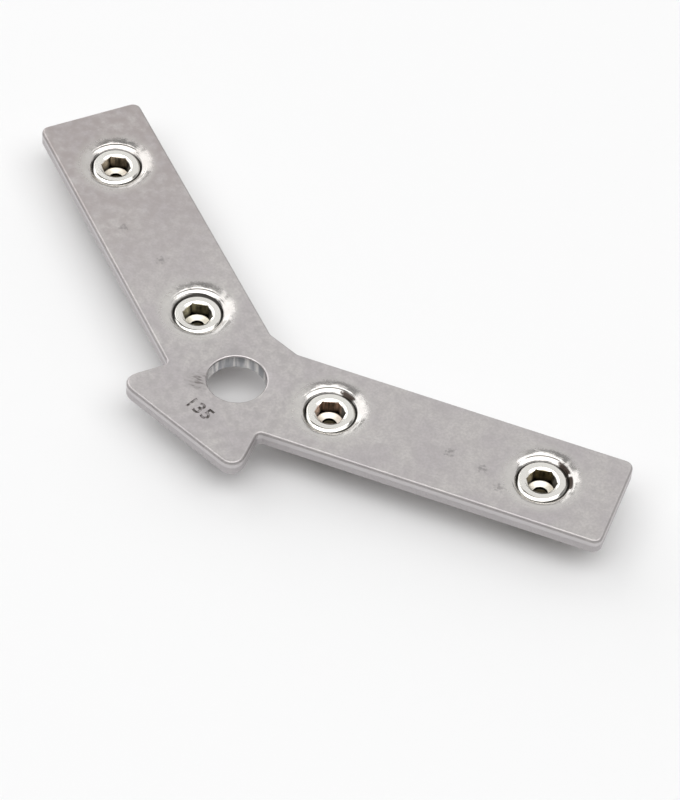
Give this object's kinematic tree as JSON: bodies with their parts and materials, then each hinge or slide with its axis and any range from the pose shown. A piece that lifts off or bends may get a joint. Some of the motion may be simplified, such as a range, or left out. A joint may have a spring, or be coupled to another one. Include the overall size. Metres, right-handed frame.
{
  "type": "t slot corner bracket",
  "caption": "Flat two-armed corner bracket for slotted extrusions meeting at 135 degrees, held in the slots by hexagon-socket set screws.",
  "frame": {"origin": "on the corner hole's axis, at the bearing face that meets the slot lips", "axes": "+Z leaves the bearing face along the corner hole's axis, +X runs along the right arm, and the left arm lies 135 degrees round from it"},
  "size_m": [0.0647, 0.0381, 0.0045],
  "materials": {
    "plate": "matt, lightly scuffed",
    "set_screw": "bright nickel plate"
  },
  "bodies": {
    "plate": {"bracket_plate": "plate"},
    "right_inner_screw": {"right_inner_set_screw": "set_screw"},
    "right_outer_screw": {"right_outer_set_screw": "set_screw"},
    "left_inner_screw": {"left_inner_set_screw": "set_screw"},
    "left_outer_screw": {"left_outer_set_screw": "set_screw"}
  },
  "joints": [
    {"name": "right_inner_screw_travel", "type": "slide", "parent": "plate", "child": "right_inner_screw", "axis": [0, 0, 1], "range_m": [-0.0016, 0.0008]},
    {"name": "right_outer_screw_travel", "type": "slide", "parent": "plate", "child": "right_outer_screw", "axis": [0, 0, 1], "range_m": [-0.0016, 0.0008]},
    {"name": "left_inner_screw_travel", "type": "slide", "parent": "plate", "child": "left_inner_screw", "axis": [0, 0, 1], "range_m": [-0.0016, 0.0008]},
    {"name": "left_outer_screw_travel", "type": "slide", "parent": "plate", "child": "left_outer_screw", "axis": [0, 0, 1], "range_m": [-0.0016, 0.0008]}
  ]
}
